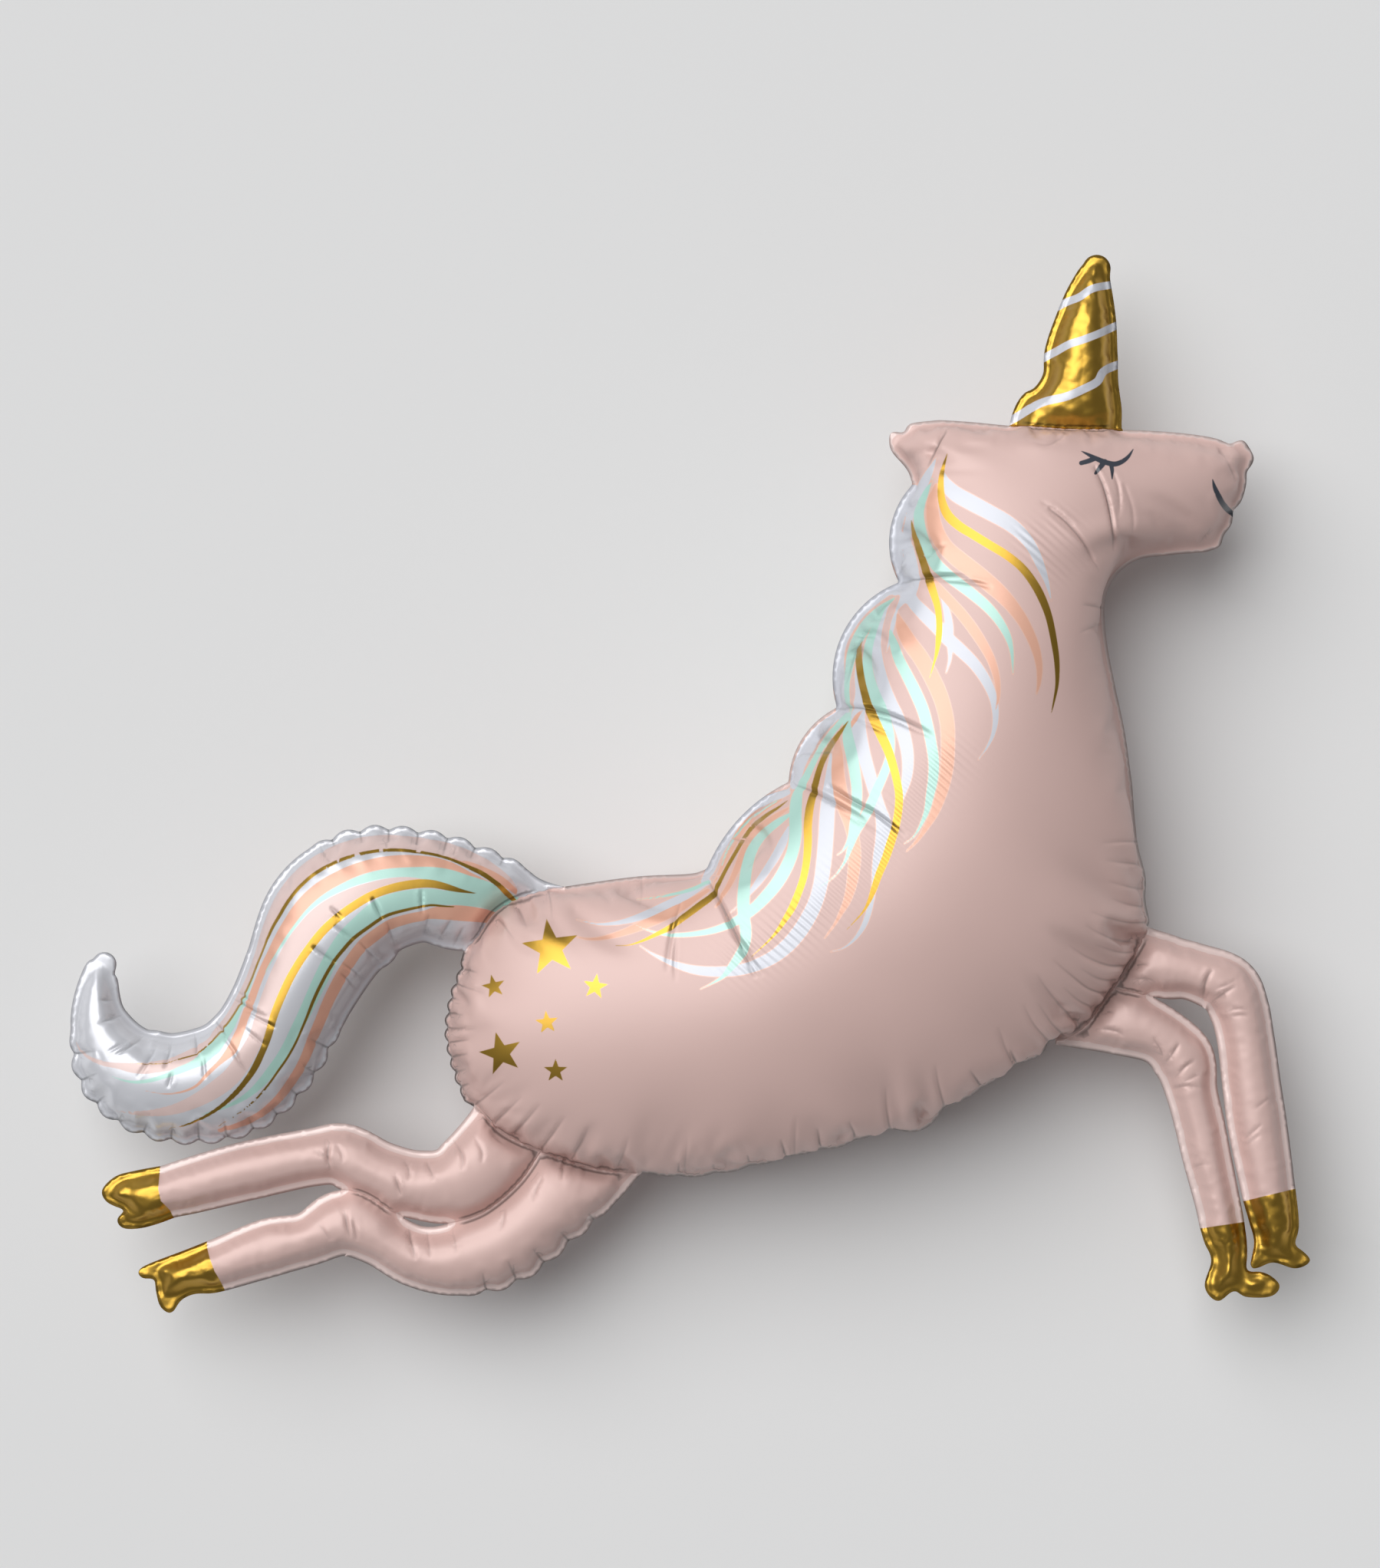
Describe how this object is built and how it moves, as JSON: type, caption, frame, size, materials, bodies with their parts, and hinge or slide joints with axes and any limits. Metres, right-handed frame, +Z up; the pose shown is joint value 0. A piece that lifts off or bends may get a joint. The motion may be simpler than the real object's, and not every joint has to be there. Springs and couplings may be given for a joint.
{
  "type": "unicorn foil balloon",
  "caption": "Leaping unicorn foil balloon lying on its side: a welded film envelope with a pillowy trunk, neck and head, tube legs with gold hooves, a curled tail and a gold horn.",
  "frame": {"origin": "centre of the underside of the balloon's box, on the floor that it lies on", "axes": "+X to the nose and front hooves, +Y to the horn, +Z up through the balloon's thickness, out of the side that the picture shows"},
  "size_m": [1.1, 0.9392, 0.2317],
  "materials": {
    "pink_film": "satin pink print on metallised film",
    "pearl_film": "glossy pearl white print on metallised film",
    "gold_foil": "satin gold metallised film"
  },
  "bodies": {
    "root": {"foil_balloon": "pink_film"}
  },
  "joints": []
}
